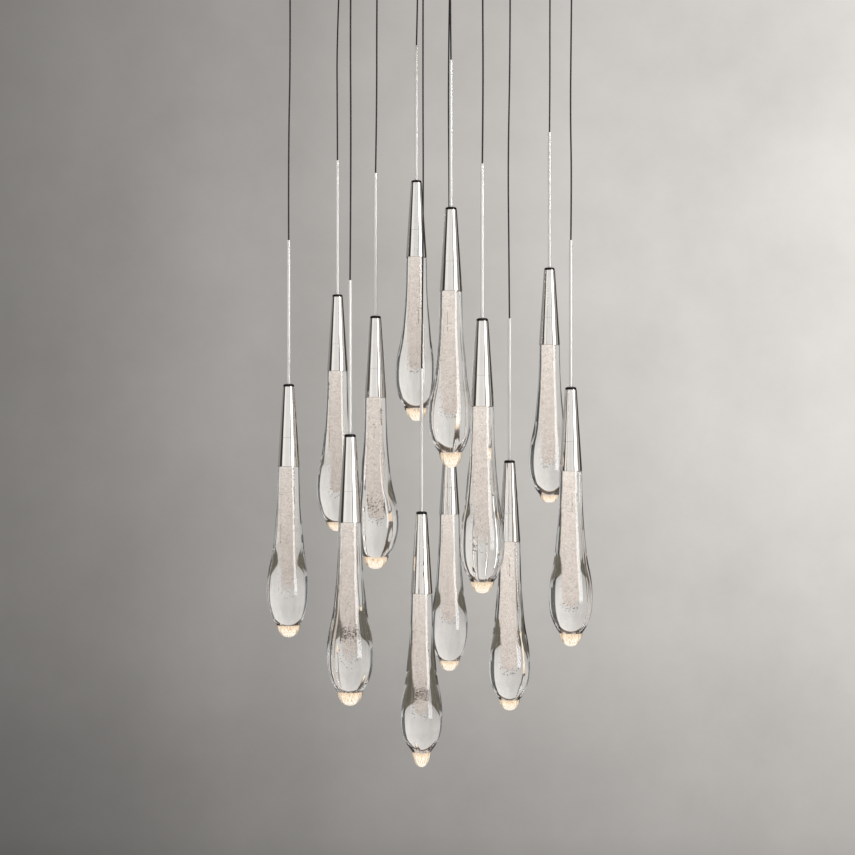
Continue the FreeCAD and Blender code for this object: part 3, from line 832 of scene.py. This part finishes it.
# Small spheres, each a grid of 5 by 8: round the core, in shallow bowls under its end, crowded on one stretch of
# some drops, and in upright strings in the neck. Places and radii are drawn at random from the seed.
def bubbleCloud(size, drop, top, place, seed):
    random = np.random.default_rng(seed)
    length = drop["length"] / 1000 * drop["reach"]
    many, few = size["bubbles"], round(size["endBubbles"] * 2 * (1.1 - drop["fade"]))
    shares = [random.uniform(0.02, 0.99, many), np.zeros(few)]
    angles = [random.uniform(0, 2 * np.pi, many + few)]
    outs = [random.uniform(0.98, 1.2, many), np.sqrt(random.uniform(0, 1.1, few))]
    radii = [random.uniform(0.00025, 0.0006, many), random.uniform(0.0003, 0.0008, few)]
    bowl = random.integers(0, 3, few)
    shares[1] = 1.004 + 0.016 * bowl - 0.035 * outs[1]**2 + random.normal(0, 0.002, few)
    if drop["crowd"]:
        low, high = (v / drop["reach"] for v in drop["crowd"][:2])
        crowd = drop["crowd"][2]
        shares.append(random.normal((low + high) / 2, (high - low) * 0.27, crowd))
        angles.append(random.uniform(0, 2 * np.pi, crowd))
        outs.append(random.uniform(0.99, 1.08, crowd))
        radii.append(random.uniform(0.0004, 0.0009, crowd))
    for string in range(size["trails"]):
        beads = size["trailBubbles"]
        start = random.uniform(0.05, 0.5)
        shares.append(start + np.cumsum(random.uniform(0.004, 0.014, beads)))
        angles.append(random.uniform(0, 2 * np.pi) + random.normal(0, 0.02, beads))
        outs.append(np.full(beads, 1.03))
        radii.append(random.uniform(0.0003, 0.0009, beads))
    t, angle, out, radius = (np.concatenate(v) for v in (shares, angles, outs, radii))
    total = len(t)
    away = coreRadius(size, drop, np.clip(t, 0, 1)) * out + 0.0003
    lean = coreLean(size, drop, t)
    middle = np.stack([place[0] + lean + away * np.cos(angle), place[1] + away * np.sin(angle), top - length * t],
                      -1)
    u = np.linspace(0.35, np.pi - 0.35, 5)[:, None]
    v = np.linspace(0, 2 * np.pi, 8, endpoint=False)[None]
    ball = np.stack([np.sin(u) * np.cos(v), np.sin(u) * np.sin(v), np.cos(u) + 0 * v], -1).reshape(-1, 3)
    ball = np.concatenate([ball, [(0, 0, 1), (0, 0, -1)]])
    quads = gridFaces(5, 8, False)[0]
    j = np.arange(8)
    caps = np.concatenate([np.stack([0 * j + 40, j, (j + 1) % 8, (j + 1) % 8], -1),
                           np.stack([0 * j + 41, 32 + (j + 1) % 8, 32 + j, 32 + j], -1)])
    points = (middle[:, None] + radius[:, None, None] * ball[None]).reshape(-1, 3)
    shift = len(ball) * np.arange(total)[:, None, None]
    quadFaces = (quads[None] + shift).reshape(-1, 4)
    capFaces = (caps[None] + shift).reshape(-1, 4)[:, :3]
    return points, quadFaces.tolist() + capFaces.tolist()


nub = {
    # finish, width and height as shares of the nub's, where it starts down the nub, and how far its top bulges up
    "layers": [("glow", 0.43, 0.70, 0.19, 0.0040), ("glowEdge", 0.62, 0.92, 0.03, 0.0030)],
    "saddle": 0.0016,                    # how much their rims rise at two sides and sink at the other two
}


# A lens of light in the nub: below its rim a quarter ellipse, above it a shallow one; its height waves by cos 2a,
# most at the rim.
def glowRows(drop, top, place, width, height, start, rise):
    nubRoot, nubHeight = (v / 1000 for v in drop["nub"])
    tip = drop["length"] / 1000
    turn = np.linspace(0.03, np.pi / 2, 12)
    under = np.linspace(0, np.pi / 2 - 0.03, 22)[1:]
    radius = nubRoot * width * np.concatenate([np.sin(turn), np.cos(under)**0.9])
    rim = tip - nubHeight * (1 - start)
    depth = np.concatenate([rim - rise * np.cos(turn), rim + nubHeight * height * np.sin(under)])
    angle = np.linspace(0, 2 * np.pi, 48, endpoint=False)[None]
    wide = radius[:, None] + 0 * angle
    saddle = nub["saddle"] * (wide / radius.max())**3 * np.cos(2 * angle)
    return np.stack([place[0] + wide * np.cos(angle), place[1] + wide * np.sin(angle),
                     top - depth[:, None] + saddle], -1)


def makePendant(tag, drop, seed):
    body = "pendant_" + tag
    low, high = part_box("stem_" + tag)
    place = ((low[0] + high[0]) / 2, (low[1] + high[1]) / 2, high[2])
    coneTop = cone["capTop"] + cone["capHeight"]
    shankTop = (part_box("drop_" + tag)[1][2] - place[2] + cone["capTop"] + cone["capHeight"] + cone["length"]) * 1000
    glassTop = place[2] - cone["capTop"] - cone["capHeight"] - cone["length"] - glass["gap"]
    seam = coneTop + cone["length"] - cone["collar"]
    sinkRadius = coneRadius(cone, coneTop + led["sinkDepth"]) - cone["wall"] - led["sinkInset"]

    for name, outline, columns, finish, node in (
            ("nickelStem_", stemOutline(stem), 32, "satinNickel", "stem_"),
            ("lockNut_", lockNutOutline(lockNut, coneTop), 6, "zinc", "stem_"),
            ("capNut_", capOutline(cone), 48, "darkNickel", "cone_"),
            ("heatSink_", sinkOutline(led, seam, sinkRadius), 48, "aluminium", "cone_"),
            ("ledBoard_", boardOutline(led, seam, sinkRadius), 40, "boardWhite", "cone_"),
            ("ledEmitter_", emitterOutline(led, seam), 24, "lamp", "cone_"),
            ("nickelCone_", coneOutline(cone), 96, "nickel", "cone_"),
            ("nickelCollar_", collarOutline(cone), 96, "nickel", "cone_")):
        attach(turnedPiece(name + tag, outline, [place], columns), body, "polished_nickel", finishes[finish],
               node + tag)

    rows = glassRows(glass, drop, glassTop, shankTop, place, seed)
    glassy = [(solidOfRows("glassDrop_" + tag, rows, 60), "glass")]
    for finish, width in core["layers"]:
        rings = coreRows(core, drop, glassTop, place, seed + 100, width)
        fading = np.linspace(0, drop["fade"], len(rings) + 1)
        glassy.append((solidOfRows("bubble" + finish.title() + "_" + tag, rings, 80, fading), finish))
    points, faces = bubbleCloud(core, drop, glassTop, place, seed + 200)
    glassy.append((makeMesh("airBubbles_" + tag, points, faces, None, 180), "bubble"))
    for finish, *shape in nub["layers"]:
        glassy.append((solidOfRows(finish + "_" + tag, glowRows(drop, glassTop, place, *shape), 60), finish))
    for piece, finish in glassy:
        attach(piece, body, "bubble_glass", finishes[finish], "drop_" + tag)


for number, (tag, drop) in enumerate(zip(tags, drops)):
    makePendant(tag, drop, number + 1)
print("pendants made:", len(drops))

studio = {
    "wallDistance": 5.0,
    "wallHalfWidth": 6.5,
    "floorHeight": -3.15,
    "floorHalfWidth": 9,
    "wallTop": 3.2,
    # painted light and shade on the wall, for the studio's light from the right and above: its tone at a place across
    # it, and what it is times at a height, both in metres
    "wallAcross": [(-6.5, 0.16), (-3.5, 0.17), (-2.0, 0.215), (-1.45, 0.26), (-0.9, 0.352), (-0.6, 0.376),
                   (-0.3, 0.447), (0.0, 0.50), (0.95, 0.60), (1.6, 0.69), (2.1, 0.76), (3.5, 0.86), (6.5, 0.90)],
    "wallUp": [(-3.15, 0.44), (-2.85, 0.59), (-2.4, 0.69), (-1.9, 0.85), (-1.0, 0.98), (0.2, 1.0), (1.1, 0.95),
               (3.2, 0.90)],
    # the same for what the glass gathers, also painted: the studio's lit panels stand in front of the wall, with
    # painted shade at the right end and at the bottom and top
    "glassAcross": [(-6.5, 0.62), (-3.0, 0.58), (-1.6, 0.57), (-0.9, 0.59), (0.0, 0.63), (0.95, 0.69), (1.8, 0.73),
                    (3.0, 0.78), (4.1, 0.80), (4.5, 0.09), (6.5, 0.05)],
    "glassUp": [(-3.15, (0.19, 0.17, 0.135)), (-2.90, (0.19, 0.17, 0.135)), (-2.82, 0.74), (-2.6, 0.80),
                (-1.9, 0.92), (-1.0, 0.98), (0.2, 1.04), (1.4, 1.12), (1.9, 1.14), (2.25, (0.18, 0.125, 0.085)),
                (3.2, (0.10, 0.075, 0.055))],
    "mottle": [(0.3, (0.965, 0.925, 0.88)), (0.7, (1.13, 1.085, 1.035))],
    # painted shade on the floor for what the glass gathers, dark near the middle under the object, by distance from
    # the middle, up to floorReach
    "floorPaintedShade": [(0.0, (0.11, 0.10, 0.078)), (0.68, (0.13, 0.117, 0.092)), (0.76, (0.42, 0.42, 0.41)),
                  (0.88, (0.52, 0.52, 0.51))],
    "floorReach": 10.0,
    "plainTone": (0.30, 0.295, 0.285, 1),    # what metal finds below the panels
    "worldDiffuse": (0.62, 0.62, 0.62, 1),
    "worldCamera": (0.50, 0.50, 0.50, 1),
}

# What metal finds by azimuth in degrees, 0 to the camera and 90 to the right; then the bright strip alone, and what
# clear glass finds. The last three go by height, 0 straight down to 1 straight up: how lit the panels are, where the
# strip stands, and where all is plain.
around = {
    "metal": [(-180, 0.28), (-150, 0.36), (-104, 0.32), (-98, (0.060, 0.052, 0.043)), (-70, (0.054, 0.047, 0.039)),
              (-65, 1.10), (-42, 1.08), (-34, 0.95), (0, 0.92), (12, 1.0), (26, 0.96), (29, (0.26, 0.24, 0.22)),
              (36, (0.26, 0.24, 0.22)), (39, 1.15), (60, 1.15), (64, (0.38, 0.34, 0.30)), (68, (0.38, 0.34, 0.30)),
              (71, 0.95), (78, 0.95), (82, (0.17, 0.148, 0.124)), (90, (0.15, 0.13, 0.11)), (94, 0.60), (103, 0.60),
              (108, (0.056, 0.048, 0.040)), (142, (0.045, 0.038, 0.032)), (152, 0.28), (180, 0.28)],
    "strip": [(-180, 0), (38, 0), (42, 7.0), (60, 7.0), (64, 0), (180, 0)],
    "clear": [(-180, 0.55), (-127, 0.50), (-122, 0.06), (-106, 0.06), (-100, 0.62), (-60, 0.75), (0, 0.80),
              (70, 0.80), (84, 0.70), (88, 0.05), (97, 0.05), (101, 0.70), (113, 0.70), (118, 0.04), (135, 0.03),
              (145, 0.80), (180, 0.70)],
}
upright = {
    "lit": [(0.0, 0.12), (0.30, 0.20), (0.42, 1.0), (0.73, 1.1), (0.78, (0.15, 0.105, 0.07)),
            (1.0, (0.08, 0.06, 0.05))],
    "strip": [(0.0, 0), (0.40, 0), (0.45, 1), (0.80, 1), (0.82, 0), (1.0, 0)],
    "plain": [(0.0, 1), (0.40, 1), (0.435, 0), (1.0, 0)],
}


# 1 where the ray is of one of the named kinds.
def rayIs(tree, first, *others):
    kinds = addNode(tree, "LightPath").outputs
    total = kinds[first]
    for kind in others:
        total = maths(tree, "MAXIMUM", total, kinds[kind])
    return total


def shaderMix(tree, share, a, b):
    return addNode(tree, "MixShader", {"Fac": share, 1: a, 2: b}).outputs["Shader"]


def emission(tree, color):
    return addNode(tree, "Emission", {"Strength": 1.0, "Color": color}).outputs["Emission"]


# Pale plaster with painted light and shade: a tone by place across times a tone by height, times a mottle. What sees
# it finds that tone whatever the lamps do; through glass the second pair of tones counts.
def plasterWall(setup):
    material, tree, shader = newMaterial("plasterWall")
    place = axesOf(tree, "Object")

    def paintedLightOf(across, up):
        tones = []
        for axis, stops in (("X", across), ("Z", up)):
            low, high = stops[0][0], stops[-1][0]
            shares = [((at - low) / (high - low), tone) for at, tone in stops]
            tones.append(rampOf(tree, mapRange(tree, place[axis], low, high), shares))
        return mixed(tree, "MULTIPLY", *tones)

    # painted light and shade: the wall's gradients stand in for the studio's light from the right and above
    tone = mixed(tree, "MIX", paintedLightOf(setup["wallAcross"], setup["wallUp"]),
                 paintedLightOf(setup["glassAcross"], setup["glassUp"]), rayIs(tree, "Is Transmission Ray"))
    mottle = rampOf(tree, objectNoise(tree, 1.1, 8.0, roughness=0.66), setup["mottle"])
    tone = mixed(tree, "MULTIPLY", tone, mottle)
    feed(tree, shader, {"Roughness": 0.9, "Base Color": tone})
    seen = rayIs(tree, "Is Camera Ray", "Is Glossy Ray", "Is Transmission Ray")
    feed(tree, tree.nodes["Material Output"],
         {"Surface": shaderMix(tree, seen, shader.outputs["BSDF"], emission(tree, tone))})
    return material


# A pale matt floor; metal finds one plain tone there, and glass a disc of painted shade under the object.
def paleFloor(setup):
    material, tree, shader = newMaterial("paleFloor")
    tone = rampOf(tree, objectNoise(tree, 2.0, 5.0), [(0.3, (0.56, 0.56, 0.55)), (0.7, (0.62, 0.62, 0.61))])
    feed(tree, shader, {"Base Color": tone, "Roughness": 0.7})
    flat = addNode(tree, "VectorMath", {0: addNode(tree, "TexCoord").outputs["Object"], 1: (1, 1, 0)},
                   operation="MULTIPLY")
    away = addNode(tree, "VectorMath", {0: flat.outputs["Vector"]}, operation="LENGTH").outputs["Value"]
    # painted shade: glass finds the floor dark near the middle, under the object
    paintedFloorShade = rampOf(tree, mapRange(tree, away, 0.0, setup["floorReach"]), setup["floorPaintedShade"])
    last = shader.outputs["BSDF"]
    for kind, color in (("Is Glossy Ray", setup["plainTone"]), ("Is Transmission Ray", paintedFloorShade)):
        last = shaderMix(tree, rayIs(tree, kind), last, emission(tree, color))   # a ray through glass is both kinds
    feed(tree, tree.nodes["Material Output"], {"Surface": last})
    return material


def stagePlane(name, corners, material):
    mesh = bpy.data.meshes.new(name)
    mesh.from_pydata(corners, [], [(0, 1, 2, 3)])
    piece = bpy.data.objects.new(name, mesh)
    scene.collection.objects.link(piece)
    mesh.materials.append(material)
    return piece


# A lamp that shines level at the object from an azimuth: x = d sin a, y = -d cos a, so 0 is the camera's side and 90
# the right. Its power is its radiance times pi times its area.
def softBox(name, azimuth, distance, width, height, middle, radiance):
    data = bpy.data.lights.new(name, "AREA")
    data.shape = "RECTANGLE"
    data.size = width
    data.size_y = height
    data.energy = radiance * math.pi * width * height
    lamp = bpy.data.objects.new(name, data)
    turn = math.radians(azimuth)
    lamp.location = (distance * math.sin(turn), -distance * math.cos(turn), middle)
    lamp.rotation_euler = (math.pi / 2, 0, turn)
    lamp.visible_camera = False
    lamp.visible_glossy = False          # metal and glass find the same panels in the world, without grain
    lamp.visible_transmission = False
    scene.collection.objects.link(lamp)


# Even light for matt things; for metal and glass, the studio's bright and dark stretches by the azimuth
# atan2(x, -y) and by height.
def studioWorld(setup):
    world = bpy.data.worlds.new("studioWorld")
    scene.world = world
    world.use_nodes = True
    tree = world.node_tree
    place = axesOf(tree, "Generated")
    azimuth = maths(tree, "ARCTAN2", place["X"], maths(tree, "MULTIPLY", place["Y"], -1.0))
    turn = mapRange(tree, azimuth, -math.pi, math.pi)
    height = mapRange(tree, place["Z"], -1.0, 1.0)
    metal, strip, clear = (rampOf(tree, turn, [((degrees + 180) / 360, tone) for degrees, tone in around[name]])
                           for name in ("metal", "strip", "clear"))
    lit, reach, low = (rampOf(tree, height, upright[name]) for name in ("lit", "strip", "plain"))
    metal = mixed(tree, "ADD", metal, mixed(tree, "MULTIPLY", strip, reach))
    metal = mixed(tree, "MIX", metal, setup["plainTone"], low)
    clear = mixed(tree, "MULTIPLY", clear, lit)
    kinds = addNode(tree, "LightPath").outputs
    seen = setup["worldDiffuse"]
    for kind, tone in (("Is Glossy Ray", metal), ("Is Transmission Ray", clear),
                       ("Is Camera Ray", setup["worldCamera"])):
        seen = mixed(tree, "MIX", seen, tone, kinds[kind])   # a ray through glass is glossy too, so the order matters
    feed(tree, tree.nodes["Background"], {"Color": seen})


wide, far = studio["wallHalfWidth"], studio["wallDistance"]
base, top, side = studio["floorHeight"], studio["wallTop"], studio["floorHalfWidth"]
wall = stagePlane("plasterWall", [(-wide, far, base), (wide, far, base), (wide, far, top), (-wide, far, top)],
                  plasterWall(studio))
wall.visible_glossy = False
stagePlane("paleFloor", [(-side, -side, base), (side, -side, base), (side, side, base), (-side, side, base)],
           paleFloor(studio))
softBox("rightStrip", 52, 3.6, 0.80, 2.65, -0.12, 6.0)
softBox("leftBox", -77, 3.8, 1.7, 3.2, -0.6, 1.15)
studioWorld(studio)
print("studio made")
